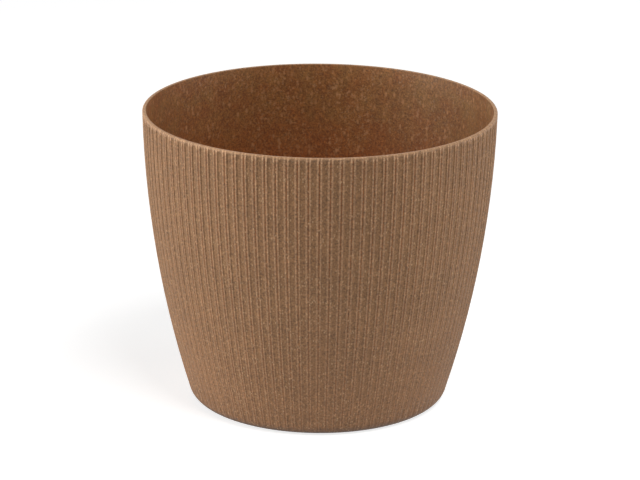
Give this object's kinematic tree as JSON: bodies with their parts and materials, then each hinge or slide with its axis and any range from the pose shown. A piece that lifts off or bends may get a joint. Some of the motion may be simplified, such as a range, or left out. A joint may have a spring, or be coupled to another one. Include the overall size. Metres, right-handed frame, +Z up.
{
  "type": "plant pot",
  "caption": "Round open-topped plant pot with a ribbed, gently bowed wall, a plain lip, a recessed base on a foot ring, and pull-out stoppers in its drain holes.",
  "frame": {"origin": "on the pot's axis, on the surface that its foot ring stands on", "axes": "+Z up along the pot's axis, out of its mouth; the drain holes lie on the X and Y axes"},
  "size_m": [0.19, 0.19, 0.161],
  "materials": {
    "pot": "matte brown plastic filled with wood fibre, fine pale speckle",
    "stopper": "matte dark brown rubber"
  },
  "bodies": {
    "pot": {"pot_body": "pot"},
    "stopper_1": {"drain_stopper_1": "stopper"},
    "stopper_2": {"drain_stopper_2": "stopper"},
    "stopper_3": {"drain_stopper_3": "stopper"},
    "stopper_4": {"drain_stopper_4": "stopper"}
  },
  "joints": [
    {"name": "stopper_1_lift", "type": "slide", "parent": "pot", "child": "stopper_1", "axis": [0, 0, 1], "range_m": [0, 0.165]},
    {"name": "stopper_2_lift", "type": "slide", "parent": "pot", "child": "stopper_2", "axis": [0, 0, 1], "range_m": [0, 0.165]},
    {"name": "stopper_3_lift", "type": "slide", "parent": "pot", "child": "stopper_3", "axis": [0, 0, 1], "range_m": [0, 0.165]},
    {"name": "stopper_4_lift", "type": "slide", "parent": "pot", "child": "stopper_4", "axis": [0, 0, 1], "range_m": [0, 0.165]}
  ]
}
